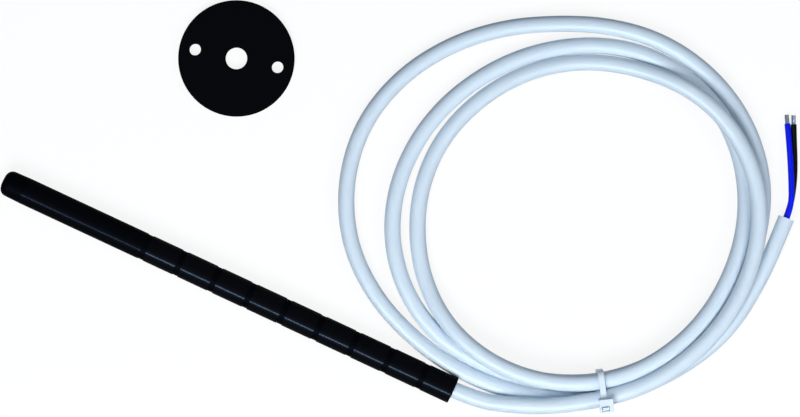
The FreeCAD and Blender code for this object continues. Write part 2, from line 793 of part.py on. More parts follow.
def slope(high_bearing, low_bearing, high, low):
    """The wedge above a ramp from one bearing to another."""
    radius = value("tie_radius - cable_d / 2")
    start, end = on_coil(high_bearing, radius, high), on_coil(low_bearing, radius, low)
    away = Vector(end.x - start.x, end.y - start.y, 0)
    far = end + (end - start) * RAMP_RUN_ON
    over = Vector(far.x, far.y, 2 * high)
    across = away.cross(Vector(0, 0, 1))
    across.normalize()
    corners = [start, far, over, Vector(start.x, start.y, 2 * high), start]
    face = Part.Face(Part.makePolygon(corners))
    face.translate(across * (-RAMP_WIDTH / 2))
    return face.extrude(across * RAMP_WIDTH)


def strap_groove():
    """All that lies outside the tied bundle's own section, over the width of the strap."""
    wide, across = value("strap_width + 2 * groove_fit"), value("2 * cable_d")
    margin = value("2 * strap_thick + cable_d / 2")
    slab = Part.makeBox(across + 2 * margin, wide, across + 2 * margin)
    slab.translate(Vector(-across / 2 - margin, -wide / 2, -margin))
    bundle = Part.makeBox(across, wide, across)
    bundle.translate(Vector(-across / 2, -wide / 2, value("strap_thick + strap_fit")))
    long_edges = [edge for edge in bundle.Edges if edge.BoundBox.YLength > wide / 2]
    slab = slab.cut(bundle.makeFillet(value("strap_corner"), long_edges))
    slab.rotate(Vector(), Vector(0, 0, 1), value("tie_bearing"))
    return slab.translated(on_coil(0, value("tie_radius")))


def cable_coil():
    """The outer shape of the tied coil: two layers at the tie, fanned out across from it."""
    solid = lower_layer().fuse(upper_layer()).cut(strap_groove()).removeSplitter()
    item = doc.addObject("Part::Feature", "cable_coil")
    item.Label = "cable_coil"
    item.Shape = solid.Solids[0]
    if len(solid.Solids) != 1:
        raise RuntimeError(f"the coil came out as {len(solid.Solids)} solids")
    item.Placement = Placement(coil_middle(), Rotation())
    return item


def cable_lead_in():
    """The cable from its end inside the tube to where it joins the coil."""
    height = value("strap_thick + 1.5 * cable_d")
    end = coil_middle() + on_coil(LEAD_END, lead_radius(), height)
    start = Vector(value(f"{TIP_X} + probe_length - jacket_inside"), value(AXIS_Y), value(AXIS_Z))
    points = [start, *(Vector(*spot) for spot in LEAD_POINTS)]
    points += [end - onwards(LEAD_END) * LEAD_LAST_RUN, end]
    return cord_piece("cable_lead_in", points, "cable_d / 2")


def tail_points():
    height = value("cable_d / 2")
    start = coil_middle() + on_coil(TAIL_START, tail_radius(), height)
    points = [start, start + onwards(TAIL_START) * TAIL_FIRST_RUN]
    return points + [Vector(x, y, height) for x, y in TAIL_POINTS]


def cable_tail():
    """The last free stretch of the cable, from the coil to the stripped end."""
    return cord_piece("cable_tail", tail_points(), "cable_d / 2")


def cord_piece(label, points, radius):
    """A plain cord whose own frame is at its first point."""
    item = doc.addObject("Part::Feature", label)
    item.Label = label
    item.Shape = pipe(label, [point - points[0] for point in points], value(radius))
    item.Placement = Placement(points[0], Rotation())
    return item


def core_points(spots, lift):
    """A stripped core's route, straight out of the jacket's end first."""
    before, end = tail_points()[-2:]
    out = end - before
    out.normalize()
    start = end + Vector(0, 0, lift)
    return [start, start + out * CORE_FIRST_RUN, *(Vector(*spot) for spot in spots)]


def core_tail(colour, spots, lift):
    return cord_piece(f"core_{colour}", core_points(spots, lift), "core_d / 2")


def tinned_end(colour, spots, lift):
    """The tinned strands that stand out of a core's insulation."""
    body = new_body(f"tinned_end_{colour}")
    radius = "end_bare_d / 2"
    corners = (("0", "0"), ("0", radius), ("end_bare", radius), ("end_bare", "0"))
    strands = turned(body, "strands", corners)
    rounded(body, "strand_end", strands, "end_round_off", lies_at("end_bare"))
    before, end = core_points(spots, lift)[-2:]
    body.Placement = Placement(end, Rotation(Vector(1, 0, 0), end - before))
    return body


# Building, testing and writing


def build():
    """Every sub-part, in the order in which the sensor is put together."""
    sides = (("blue", 1), ("black", -1))
    wires = [element_wire(f"element_wire_{colour}", side) for colour, side in sides]
    chip = element_chip()
    glaze = element_glaze(wires)
    parts = [probe_tube(), chip, glaze, *wires]
    for colour, side in sides:
        parts.append(solder_joint(f"solder_joint_{colour}", side))
        parts.append(joint_sleeve(f"joint_sleeve_{colour}", side))
        parts += inner_core(colour, side)
    parts += [tip_potting([chip, glaze, *wires]), rear_seal(), flange()]
    parts += [cable_lead_in(), cable_coil(), cable_tail(), cable_tie()]
    routes = (("blue", BLUE_POINTS, CORE_SPREAD), ("black", BLACK_POINTS, -CORE_SPREAD))
    for colour, spots, lift in routes:
        parts += [core_tail(colour, spots, lift), tinned_end(colour, spots, lift)]
    return parts


def check(parts):
    """Stops if anything in the document failed or a sub-part isn't one sound solid."""
    doc.recompute()
    for item in doc.Objects:
        if {"Invalid", "Error"} & set(item.State):
            raise RuntimeError(f"{item.Label} failed: {item.State}")
    for part in parts:
        shape = part.Shape
        if shape.isNull() or not shape.isValid() or len(shape.Solids) != 1:
            raise RuntimeError(f"{part.Label} isn't one sound solid")


def main():
    fill_sheet()
    parts = build()
    check(parts)
    os.makedirs("parts", exist_ok=True)
    for part in parts:
        part.Shape.exportStep(f"parts/{part.Label}.step")


main()
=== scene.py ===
"""Duct temperature sensor: a black stem with a coiled, tied cable and a loose flange.

Lengths are in metres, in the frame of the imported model. The stem lies along X with its tip
towards -X, and everything rests on Z = 0.
"""

import logging
import math
from dataclasses import dataclass, field
from enum import Enum
from typing import Iterable, Sequence

import bpy
from mathutils import Matrix, Vector


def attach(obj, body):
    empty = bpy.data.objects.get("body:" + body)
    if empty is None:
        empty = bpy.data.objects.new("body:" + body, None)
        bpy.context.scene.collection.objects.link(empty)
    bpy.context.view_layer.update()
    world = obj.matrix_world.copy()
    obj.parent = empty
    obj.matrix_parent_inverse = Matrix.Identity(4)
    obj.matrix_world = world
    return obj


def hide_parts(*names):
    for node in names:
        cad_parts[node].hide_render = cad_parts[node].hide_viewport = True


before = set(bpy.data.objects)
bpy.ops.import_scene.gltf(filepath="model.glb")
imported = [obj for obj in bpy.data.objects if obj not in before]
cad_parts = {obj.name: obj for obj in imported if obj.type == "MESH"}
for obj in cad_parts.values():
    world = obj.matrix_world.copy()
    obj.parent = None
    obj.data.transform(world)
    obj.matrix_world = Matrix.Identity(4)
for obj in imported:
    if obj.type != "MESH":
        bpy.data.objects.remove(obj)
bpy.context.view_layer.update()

LOG = logging.getLogger("duct_sensor")
BODY = "root"
MM = 0.001
FULL_TURN = 360
NOISE_MEAN = 0.5
COLOUR_A, COLOUR_B, COLOUR_RESULT = 6, 7, 2  # the Mix node's sockets for colours

Colour = tuple[float, float, float]
Point = tuple[float, float, float]


# Node trees


class Signal:
    """A node's output that can be used in sums, products and comparisons."""

    def __init__(self, tree: "NodeTree", socket: bpy.types.NodeSocket) -> None:
        """Keeps the tree that the socket belongs to, and the socket."""
        self.tree = tree
        self.socket = socket

    def _math(self, operation: str, *values: "Signal | float") -> "Signal":
        """Adds one Math node.

        Args:
            operation: Blender's name of the operation.
            values: Its inputs, in order.

        Returns:
            The node's output.
        """
        inputs = dict(enumerate(values))
        return self.tree.node("ShaderNodeMath", {"operation": operation}, inputs)

    def __add__(self, other: "Signal | float") -> "Signal":
        """This plus other."""
        return self._math("ADD", self, other)

    def __radd__(self, other: float) -> "Signal":
        """Other plus this."""
        return self._math("ADD", other, self)

    def __sub__(self, other: "Signal | float") -> "Signal":
        """This minus other."""
        return self._math("SUBTRACT", self, other)

    def __rsub__(self, other: float) -> "Signal":
        """Other minus this."""
        return self._math("SUBTRACT", other, self)

    def __mul__(self, other: "Signal | float") -> "Signal":
        """This times other."""
        return self._math("MULTIPLY", self, other)

    def __rmul__(self, other: float) -> "Signal":
        """Other times this."""
        return self._math("MULTIPLY", other, self)

    def __truediv__(self, other: "Signal | float") -> "Signal":
        """This divided by other."""
        return self._math("DIVIDE", self, other)

    def __rtruediv__(self, other: float) -> "Signal":
        """Other divided by this."""
        return self._math("DIVIDE", other, self)

    def __gt__(self, other: "Signal | float") -> "Signal":
        """1 where this is greater than other, and 0 elsewhere."""
        return self._math("GREATER_THAN", self, other)

    def __lt__(self, other: "Signal | float") -> "Signal":
        """1 where this is less than other, and 0 elsewhere."""
        return self._math("LESS_THAN", self, other)

    def __or__(self, other: "Signal") -> "Signal":
        """The greater of two masks."""
        return self._math("MAXIMUM", self, other)

    def modulo(self, other: float) -> "Signal":
        """What is left of this after division by other."""
        return self._math("FLOORED_MODULO", self, other)

    def soft_step(self, low: float, high: float) -> "Signal":
        """A smooth rise from 0 at low to 1 at high.

        Args:
            low: Where the rise begins.
            high: Where it ends.

        Returns:
            The mask.
        """
        settings = {"interpolation_type": "SMOOTHSTEP"}
        inputs = {"Value": self, "From Min": low, "From Max": high}
        return self.tree.node("ShaderNodeMapRange", settings, inputs, "Result")


class NodeTree:
    """A node tree that is being built."""

    def __init__(self, tree: bpy.types.NodeTree) -> None:
        """Keeps Blender's own tree, emptied."""
        self.tree = tree
        self.tree.nodes.clear()

    def node(
        self,
        kind: str,
        settings: dict | None = None,
        inputs: dict | None = None,
        output: str | int = 0,
    ) -> Signal:
        """Adds one node.

        Args:
            kind: The node's type.
            settings: Its properties, which are set first.
            inputs: Values, signals or lists of signals for its sockets, by name or number.
            output: Which output to return.

        Returns:
            That output.
        """
        made = self.tree.nodes.new(kind)
        for name, value in (settings or {}).items():
            setattr(made, name, value)
        for key, value in (inputs or {}).items():
            for item in value if isinstance(value, list) else [value]:
                if isinstance(item, Signal):
                    self.tree.links.new(item.socket, made.inputs[key])
                else:
                    made.inputs[key].default_value = item
        return Signal(self, made.outputs[output])

    def end(self, kind: str, signal: Signal) -> None:
        """Links a signal to the first socket of a new output node."""
        output = self.tree.nodes.new(kind)
        self.tree.links.new(signal.socket, output.inputs[0])


class Shade(NodeTree):
    """The nodes of a material or of the world."""

    def __init__(self, owner: bpy.types.Material | bpy.types.World) -> None:
        """Turns the owner's nodes on and takes them over.

        Args:
            owner: The new material or world.
        """
        owner.use_nodes = True
        super().__init__(owner.node_tree)
        self.owner = owner

    def place(self) -> Signal:
        """The point on the piece, in metres."""
        return self.node("ShaderNodeTexCoord", output="Object")

    def split(self, vector: Signal, axis: str) -> Signal:
        """One coordinate of a vector."""
        return self.node("ShaderNodeSeparateXYZ", inputs={0: vector}, output=axis)

    def noise(self, scale: float, detail: float = 2.0, stretch: Point | None = None) -> Signal:
        """Smooth noise from 0 to 1.

        Args:
            scale: Waves to a metre.
            detail: How many finer layers it has.
            stretch: How much denser the noise is along each axis, if it isn't even.

        Returns:
            The noise.
        """
        where = self.place()
        if stretch is not None:
            where = self.node("ShaderNodeMapping", inputs={"Vector": where, "Scale": stretch})
        inputs = {"Vector": where, "Scale": scale, "Detail": detail}
        return self.node("ShaderNodeTexNoise", inputs=inputs, output="Fac")

    def blend(self, mask: Signal, first: Colour, second: Colour) -> Signal:
        """A colour that goes from first to second as the mask goes from 0 to 1."""
        inputs = {0: mask, COLOUR_A: (*first, 1.0), COLOUR_B: (*second, 1.0)}
        return self.node("ShaderNodeMix", {"data_type": "RGBA"}, inputs, COLOUR_RESULT)

    def mix(self, share: Signal | float, first: Signal, second: Signal) -> Signal:
        """A shader that goes from first to second as the share goes from 0 to 1."""
        return self.node("ShaderNodeMixShader", inputs={0: share, 1: first, 2: second})

    def seen(self) -> Signal:
        """Tells light that shows the surface itself from light that only lights others.

        Returns:
            1 for a surface that is seen, mirrored or looked at through a clear piece, else 0.
        """
        camera, glossy, through = (
            self.node("ShaderNodeLightPath", output=f"Is {kind} Ray")
            for kind in ("Camera", "Glossy", "Transmission")
        )
        return camera | glossy | through

    def bump(self, height: Signal, depth: float) -> Signal:
        """Normals of a surface with fine relief.

        Args:
            height: The relief, from 0 to 1.
            depth: Its depth in metres.

        Returns:
            The normals.
        """
        inputs = {"Strength": 1.0, "Distance": depth, "Height": height}
        return self.node("ShaderNodeBump", inputs=inputs, output="Normal")

    def finish(self, shader: Signal) -> bpy.types.Material:
        """Ends the material in a shader.

        Args:
            shader: The whole look.

        Returns:
            The material.
        """
        self.end("ShaderNodeOutputMaterial", shader)
        return self.owner

    def principled(self, inputs: dict) -> Signal:
        """A Principled shader with values or signals for its sockets."""
        return self.node("ShaderNodeBsdfPrincipled", inputs=inputs)


class ShapeTree(NodeTree):
    """A geometry node group that makes one piece."""

    def __init__(self, name: str) -> None:
        """Makes an empty group with a geometry input and output.

        Args:
            name: The group's name.
        """
        super().__init__(bpy.data.node_groups.new(name, "GeometryNodeTree"))
        self.numbers: dict[str, float] = {}
        for way in ("INPUT", "OUTPUT"):
            self.tree.interface.new_socket(
                "Geometry", in_out=way, socket_type="NodeSocketGeometry"
            )
        self.entry = self.tree.nodes.new("NodeGroupInput")

    def value(self, name: str, number: float, kind: str = "NodeSocketFloat") -> Signal:
        """Adds a named input.

        Args:
            name: The input's name.
            number: The number that the group is run with.
            kind: The socket's type.

        Returns:
            The input inside the group.
        """
        made = self.tree.interface.new_socket(name, in_out="INPUT", socket_type=kind)
        self.numbers[made.identifier] = number
        return Signal(self, self.entry.outputs[name])

    def close(self, geometry: Signal, material: bpy.types.Material) -> None:
        """Ends the group in real geometry with a material.

        Args:
            geometry: What the group makes.
            material: Its material.
        """
        real = self.node("GeometryNodeRealizeInstances", inputs={0: geometry})
        dressed = self.node("GeometryNodeSetMaterial", inputs={0: real, "Material": material})
        self.end("NodeGroupOutput", dressed)

    def run(self, name: str) -> bpy.types.Object:
        """Runs the group and keeps what it makes as a plain mesh.

        Args:
            name: The new piece's name.

        Returns:
            The piece.
        """
        holder = bpy.data.objects.new(f"{name}_maker", bpy.data.meshes.new(f"{name}_maker"))
        bpy.context.scene.collection.objects.link(holder)
        modifier = holder.modifiers.new("maker", "NODES")
        modifier.node_group = self.tree
        for identifier, number in self.numbers.items():
            modifier[identifier] = number
        graph = bpy.context.evaluated_depsgraph_get()
        mesh = bpy.data.meshes.new_from_object(holder.evaluated_get(graph))
        bpy.data.objects.remove(holder)
        piece = bpy.data.objects.new(name, mesh)
        bpy.context.scene.collection.objects.link(piece)
        return piece


# Finishes


@dataclass(frozen=True)
class Plastic:
    """A moulded or extruded plastic with slight mottling and a fine skin."""

    name: str
    dark: Colour
    light: Colour
    roughness: float
    spread: float = 0.08
    mottle_scale: float = 260.0
    mottle_detail: float = 3.0
    grain_scale: float = 5000.0
    grain_depth: float = 0.01 * MM
    specular: float = 0.5
    coat: float = 0.0
    coat_roughness: float = 0.12

    def material(self) -> bpy.types.Material:
        """Builds the material.

        Returns:
            The material.
        """
        shade = Shade(bpy.data.materials.new(self.name))
        mottle = shade.noise(self.mottle_scale, self.mottle_detail)
        looks = {
            "Base Color": shade.blend(mottle, self.dark, self.light),
            "Roughness": self.roughness + (mottle - NOISE_MEAN) * self.spread,
            "Specular IOR Level": self.specular,
            "Coat Weight": self.coat,
            "Coat Roughness": self.coat_roughness,
            "Normal": shade.bump(shade.noise(self.grain_scale), self.grain_depth),
        }
        return shade.finish(shade.principled(looks))


@dataclass(frozen=True)
class StemPlastic:
    """The stem's black plastic.

    It is duller ahead of the first ring, and matte on the nose and in the depth rings.
    """

    name: str = "stem_plastic"
    tip_x: float = -91 * MM
    nose_length: float = 9 * MM
    nose_fade: tuple[float, float] = (-1.5 * MM, 0.5 * MM)
    first_ring: float = 57.6 * MM
    ring_pitch: float = 14.0 * MM
    ring_width: float = 2.2 * MM
    dark: Colour = (0.0006, 0.0008, 0.0014)
    light: Colour = (0.0014, 0.0018, 0.003)
    wear_scale: float = 900.0
    wear_detail: float = 4.0
    wear_stretch: Point = (0.15, 1.0, 1.0)
    roughness: float = 0.5
    spread: float = 0.1
    specular: float = 0.004
    polish: float = 0.032
    polish_spread: float = 0.014
    polish_roughness: float = 0.17
    dull_share: float = 0.3
    grain_scale: float = 7000.0
    grain_depth: float = 0.003 * MM

    def shine(self, shade: Shade) -> Signal:
        """Where the stem is polished, and how much.

        Args:
            shade: The material.

        Returns:
            1 behind the first ring, less ahead of it, and 0 on the nose and in the rings.
        """
        along = shade.split(shade.place(), "X") - self.tip_x
        past_nose = (along - self.nose_length).soft_step(*self.nose_fade)
        behind = (along - self.first_ring).soft_step(-self.ring_width, 0.0)
        phase = (along - (self.first_ring - self.ring_width / 2)).modulo(self.ring_pitch)
        ring = (phase < self.ring_width) * (along > self.first_ring - self.ring_width)
        return (behind * (1 - self.dull_share) + self.dull_share) * (1 - ring) * past_nose

    def material(self) -> bpy.types.Material:
        """Builds the material.

        Returns:
            The material.
        """
        shade = Shade(bpy.data.materials.new(self.name))
        wear = shade.noise(self.wear_scale, self.wear_detail, self.wear_stretch)
        coat = self.polish + (wear - NOISE_MEAN) * self.polish_spread
        looks = {
            "Base Color": shade.blend(wear, self.dark, self.light),
            "Roughness": self.roughness + (wear - NOISE_MEAN) * self.spread,
            "Specular IOR Level": self.specular,
            "Coat Weight": self.shine(shade) * coat,
            "Coat Roughness": self.polish_roughness,
            "Normal": shade.bump(shade.noise(self.grain_scale), self.grain_depth),
        }
        return shade.finish(shade.principled(looks))


@dataclass(frozen=True)
class Metal:
    """A bare metal with fine marks."""

    name: str
    colour: Colour
    worn: Colour
    roughness: float
    spread: float = 0.2
    mark_scale: float = 2600.0
    mark_detail: float = 4.0
    mark_depth: float = 0.02 * MM

    def material(self) -> bpy.types.Material:
        """Builds the material.

        Returns:
            The material.
        """
        shade = Shade(bpy.data.materials.new(self.name))
        marks = shade.noise(self.mark_scale, self.mark_detail)
        looks = {
            "Base Color": shade.blend(marks, self.worn, self.colour),
            "Metallic": 1.0,
            "Roughness": self.roughness + (marks - NOISE_MEAN) * self.spread,
            "Normal": shade.bump(marks, self.mark_depth),
        }
        return shade.finish(shade.principled(looks))


@dataclass(frozen=True)
class Ground:
    """The floor: white apart from the shadow where it is seen, and dim to soft light."""

    name: str = "pale_floor"
    colour: Colour = (1.0, 1.0, 1.0)
    surroundings: Colour = (0.10, 0.125, 0.16)
    lit_share: float = 0.12

    def material(self) -> bpy.types.Material:
        """Builds the material.

        Returns:
            The material.
        """
        shade = Shade(bpy.data.materials.new(self.name))
        white = shade.node("ShaderNodeEmission", inputs={"Strength": 1.0})
        lit, dim = (
            shade.node("ShaderNodeBsdfDiffuse", inputs={"Color": (*colour, 1.0)})
            for colour in (self.colour, self.surroundings)
        )
        pale = shade.mix(self.lit_share, white, lit)
        return shade.finish(shade.mix(shade.seen(), dim, pale))


class Finish(Enum):
    """Every finish on the sensor."""

    STEM = StemPlastic()
    RUBBER = Plastic(
        "flange_rubber",
        (0.0006, 0.0007, 0.0008),
        (0.0014, 0.0015, 0.0018),
        0.7,
        specular=0.01,
    )
    JACKET = Plastic(
        "jacket_vinyl",
        (0.64, 0.73, 0.81),
        (0.68, 0.77, 0.85),
        0.36,
        mottle_scale=120.0,
        grain_scale=1800.0,
        specular=0.13,
    )
    NYLON = Plastic("tie_nylon", (0.66, 0.75, 0.82), (0.78, 0.85, 0.91), 0.28, specular=0.32)
    BLUE = Plastic("blue_vinyl", (0.002, 0.008, 0.70), (0.003, 0.014, 0.86), 0.42, specular=0.08)
    BLACK = Plastic(
        "black_vinyl",
        (0.0008, 0.0008, 0.001),
        (0.002, 0.002, 0.002),
        0.45,
        specular=0.05,
    )
    TINNED = Metal("tinned_strands", (0.22, 0.25, 0.27), (0.1, 0.12, 0.13), 0.34)
    COPPER = Metal("copper_strands", (0.84, 0.47, 0.29), (0.62, 0.30, 0.17), 0.36)
    SOLDER = Metal("soft_solder", (0.62, 0.64, 0.66), (0.46, 0.48, 0.50), 0.3)
    RESIN = Plastic("cast_resin", (0.012, 0.012, 0.014), (0.03, 0.03, 0.034), 0.26)
    CERAMIC = Plastic("element_ceramic", (0.78, 0.78, 0.74), (0.86, 0.86, 0.83), 0.5)
    GLAZE = Plastic("weld_glaze", (0.16, 0.26, 0.42), (0.24, 0.36, 0.54), 0.14, coat=0.5)

    def material(self) -> bpy.types.Material:
        """The finish's material, built the first time that it is asked for."""
        return bpy.data.materials.get(self.value.name) or self.value.material()


# Pieces


def dress(piece: bpy.types.Object, finish: Finish) -> None:
    """Gives a whole piece one finish."""
    piece.data.materials.clear()
    piece.data.materials.append(finish.material())


def ride(piece: bpy.types.Object, slot: str, *nodes: str) -> None:
    """Hangs a new piece on the sensor's body.

    Args:
        piece: The piece, in place.
        slot: The record's material slot; not used.
        nodes: The CAD nodes that it stands for.
    """
    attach(piece, BODY)
    if nodes:
        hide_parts(*nodes)
    LOG.info("%s made", piece.name)


def cord_object(name: str, route: Sequence[Vector], radius: float) -> bpy.types.Object:
    """A cord on a smooth line that the route's points steer.

    Args:
        name: The piece's name.
        route: The line's control points.
        radius: Half the cord's diameter.

    Returns:
        The curve object.
    """
    curve = bpy.data.curves.new(name, "CURVE")
    curve.dimensions = "3D"
    curve.twist_mode = "MINIMUM"
    curve.bevel_depth = radius
    curve.bevel_resolution = 6
    curve.use_fill_caps = True
    spline = curve.splines.new("NURBS")
    spline.points.add(len(route) - 1)
    for point, spot in zip(spline.points, route):
        point.co = (*spot, 1.0)
    spline.order_u = 3
    spline.use_endpoint_u = True
    spline.resolution_u = 8
    piece = bpy.data.objects.new(name, curve)
    bpy.context.scene.collection.objects.link(piece)
    return piece


class Side(Enum):
    """The two sides of the tied bundle, as seen from the coil's centre."""

    INNER = -1
    OUTER = 1


@dataclass(frozen=True)
class Turn:
    """One turn of the coil.

    Distances from the coil's centre and heights are in millimetres, and bearings in degrees
    from the tie. The distances stand at even bearings between the tie and the tie, and each
    height stands with its bearing.
    """

    start: Side
    distances: tuple[float, ...]
    end: Side
    heights: tuple[tuple[float, float], ...]

    def distance(self, bearing: float, tied: dict[Side, float]) -> float:
        """The distance at a bearing, on a smooth curve through the given ones.

        Args:
            bearing: Degrees from the tie.
            tied: The tied strands' distance on each side of the bundle.

        Returns:
            The distance there.
        """
        row = (tied[self.start], *self.distances, tied[self.end])
        last = len(row) - 1
        place = bearing * last / FULL_TURN
        i = min(int(place), last - 1)
        f = place - i
        a, b, c, d = (row[min(max(j, 0), last)] for j in (i - 1, i, i + 1, i + 2))
        bend = (2 * a - 5 * b + 4 * c - d) * f**2 + (3 * (b - c) + d - a) * f**3
        return (2 * b + (c - a) * f + bend) / 2

    def height(self, bearing: float) -> float:
        """The height at a bearing, level at each given one and smooth between them.

        Args:
            bearing: Degrees from the tie.

        Returns:
            The height there.
        """
        for (start, low), (end, high) in zip(self.heights, self.heights[1:]):
            if start <= bearing <= end:
                share = (bearing - start) / (end - start)
                return low + (high - low) * (3 - 2 * share) * share**2
        return self.heights[-1][1]


@dataclass
class Cable:
    """The white two-core cable, from inside the stem through three loose turns to its end.

    The points of lead and tail are in millimetres. Those of joining and leaving are bearing
    from the tie, distance from the coil's centre and height, as in the turns.
    """

    radius: float = 3.0 * MM
    centre: tuple[float, float] = (106.0 * MM, 31.4 * MM)
    tie_bearing: float = -58.0
    tie_radius: float = 64.2 * MM
    step: int = 15
    lead: tuple[Point, ...] = ((75.0, -46.65, 5.0), (99.0, -46.65, 5.0), (112.0, -42.6, 7.3))
    joining: tuple[Point, ...] = ((-16.0, 70.3, 9.4),)
    turns: tuple[Turn, ...] = (
        Turn(
            Side.OUTER,
            (65.1, 64.9, 65.3, 62.6, 57.6, 55.8, 55.6, 57.8, 60.0, 62.7, 62.4),
            Side.INNER,
            (
                (0, 10.1),
                (20, 11.4),
                (42, 11.1),
                (68, 9.1),
                (120, 9.1),
                (135, 8.4),
                (156, 3.0),
                (285, 3.0),
                (315, 8.5),
                (330, 9.1),
                (360, 10.1),
            ),
        ),
        Turn(
            Side.INNER,
            (59.3, 58.9, 61.4, 63.8, 63.8, 61.8, 62.2, 65.7, 69.4, 68.7, 63.2),
            Side.INNER,
            (
                (0, 10.1),
                (30, 9.2),
                (45, 8.4),
                (60, 7.2),
                (75, 5.0),
                (90, 3.0),
                (330, 3.0),
                (360, 4.1),
            ),
        ),
        Turn(
            Side.INNER,
            (60.5, 63.5, 68.0, 69.8, 70.2, 70.5, 78.0, 86.0, 84.9, 75.5, 69.45),
            Side.OUTER,
            ((0, 4.1), (30, 3.0), (330, 3.0), (360, 4.1)),
        ),
    )
    leaving: tuple[Point, ...] = ((15.0, 66.8, 3.0), (32.0, 67.3, 3.0))
    tail: tuple[Point, ...] = (
        (173.9, 18.0, 3.0),
        (175.9, 36.0, 3.0),
        (176.0, 49.5, 3.0),
        (175.3, 62.5, 3.0),
    )
    length: float = 1.41

    def on_coil(self, bearing: float, distance: float, height: float) -> Vector:
        """A control point of a turn.

        Args:
            bearing: Degrees from the tie.
            distance: The line's distance from the coil's centre, in millimetres.
            height: The line's height, in millimetres.

        Returns:
            The point, a little further out than the line, which cuts inside its points.
        """
        angle = math.radians(self.tie_bearing + bearing)
        reach = distance * MM / math.cos(math.radians(self.step / 2))
        x = self.centre[0] + reach * math.cos(angle)
        y = self.centre[1] + reach * math.sin(angle)
        return Vector((x, y, height * MM))

    def coil(self) -> list[Vector]:
        """The control points of the turns, from the tie round to the tie.

        Returns:
            The points.
        """
        tied = {side: (self.tie_radius + side.value * self.radius) / MM for side in Side}
        bearings = range(0, FULL_TURN, self.step)
        spots = [(turn, bearing) for turn in self.turns for bearing in bearings]
        spots.append((self.turns[-1], FULL_TURN))
        return [self.on_coil(at, turn.distance(at, tied), turn.height(at)) for turn, at in spots]

    def route(self) -> list[Vector]:
        """The whole cable's control points.

        Returns:
            The points, from inside the stem to the stripped end.
        """
        lead, tail = ([Vector(spot) * MM for spot in part] for part in (self.lead, self.tail))
        joining, leaving = (
            [self.on_coil(*spot) for spot in part] for part in (self.joining, self.leaving)
        )
        return [*lead, *joining, *self.coil(), *leaving, *tail]

    def build(self, with_pieces: Iterable[bpy.types.Object]) -> bpy.types.Object:
        """Args:
            with_pieces: The pieces that are carried by it; not used.

        Returns:
            The cable.
        """
        piece = cord_object("cable", self.route(), self.radius)
        dress(piece, Finish.JACKET)
        ride(piece, "white_jacket", "cable_lead_in", "cable_coil", "cable_tail")
        return piece


@dataclass(frozen=True)
class TwistedStrands:
    """Round strands in one layer round a plain core, all twisted the same way."""

    count: int = 9
    radius: float = 0.8 * MM
    strand_share: float = 0.33
    length: float = 3.3 * MM
    turns: float = 0.35
    steps: int = 20
    strand_sides: int = 10
    core_sides: int = 24

    def make(self, name: str, finish: Finish) -> bpy.types.Object:
        """Builds the strands along Z from the origin.

        Args:
            name: The piece's name.
            finish: The strands' finish.

        Returns:
            The piece.
        """
        size = self.strand_share * self.radius
        group = ShapeTree("twisted_strands")
        count = group.value("Strands", self.count, "NodeSocketInt")
        bundle = group.value("Bundle Radius", self.radius - size)
        thick = group.value("Strand Radius", size)
        length = group.value("Length", self.length)
        turns = group.value("Turns", self.turns)
        helix = group.node(
            "GeometryNodeCurveSpiral",
            inputs={
                "Resolution": self.steps,
                "Rotations": turns,
                "Start Radius": bundle,
                "End Radius": bundle,
                "Height": length,
            },
        )
        profile = group.node(
            "GeometryNodeCurvePrimitiveCircle",
            inputs={"Resolution": self.strand_sides, "Radius": thick},
        )
        wire = group.node(
            "GeometryNodeCurveToMesh",
            inputs={"Curve": helix, "Profile Curve": profile, "Fill Caps": True},
        )
        spots = group.node("GeometryNodeMeshLine", inputs={"Count": count, "Offset": (0.0,) * 3})
        angle = group.node("GeometryNodeInputIndex") / count * math.tau
        turn = group.node("ShaderNodeCombineXYZ", inputs={"Z": angle})
        ring = group.node(
            "GeometryNodeInstanceOnPoints",
            inputs={"Points": spots, "Instance": wire, "Rotation": turn},
        )
        fill = group.node(
            "GeometryNodeMeshCylinder",
            inputs={"Vertices": self.core_sides, "Radius": bundle, "Depth": length},
        )
        lift = group.node("ShaderNodeCombineXYZ", inputs={"Z": length / 2})
        core = group.node(
            "GeometryNodeTransform", inputs={"Geometry": fill, "Translation": lift}
        )
        both = group.node("GeometryNodeJoinGeometry", inputs={"Geometry": [ring, core]})
        group.close(both, finish.material())
        return group.run(name)


@dataclass
class StrippedCore:
    """One insulated core outside the jacket, with its bare tinned strands.

    The way that it runs is in millimetres: the lift over the jacket's middle, the spots, the
    jacket's end and the first straight run out of it.
    """

    colour: str
    finish: Finish
    slot: str
    lift: float
    spots: tuple[Point, ...]
    jacket_end: Point = (175.3, 62.5, 3.0)
    way_out: Point = (-0.0538, 0.9986, 0.0)
    first_run: float = 5.0
    radius: float = 1.1 * MM
    bare_end: TwistedStrands = TwistedStrands()
    length: float = 0.035

    def route(self) -> list[Vector]:
        """The core's control points, straight out of the jacket first.

        Returns:
            The points.
        """
        start = Vector(self.jacket_end) + Vector((0, 0, self.lift))
        points = [start, start + Vector(self.way_out) * self.first_run]
        points += [Vector(spot) for spot in self.spots]
        return [point * MM for point in points]

    def build(self) -> list[bpy.types.Object]:
        """Returns:
            The core and its strands.
        """
        route = self.route()
        strands = self.strands(route[-1], route[-1] - route[-2])
        core = cord_object(f"core_{self.colour}_wire", route, self.radius)
        dress(core, self.finish)
        ride(core, self.slot, f"core_{self.colour}")
        return [core, strands]

    def strands(self, end: Vector, along: Vector) -> bpy.types.Object:
        """Makes the twisted, tinned strands that stand out of the insulation.

        Args:
            end: Where the insulation ends.
            along: The direction in which they stand.

        Returns:
            The strands.
        """
        piece = self.bare_end.make(f"strands_{self.colour}", Finish.TINNED)
        turn = along.to_track_quat("Z", "Y").to_matrix().to_4x4()
        piece.data.transform(Matrix.Translation(end) @ turn)
        ride(piece, "tinned_copper", f"tinned_end_{self.colour}")
        return piece


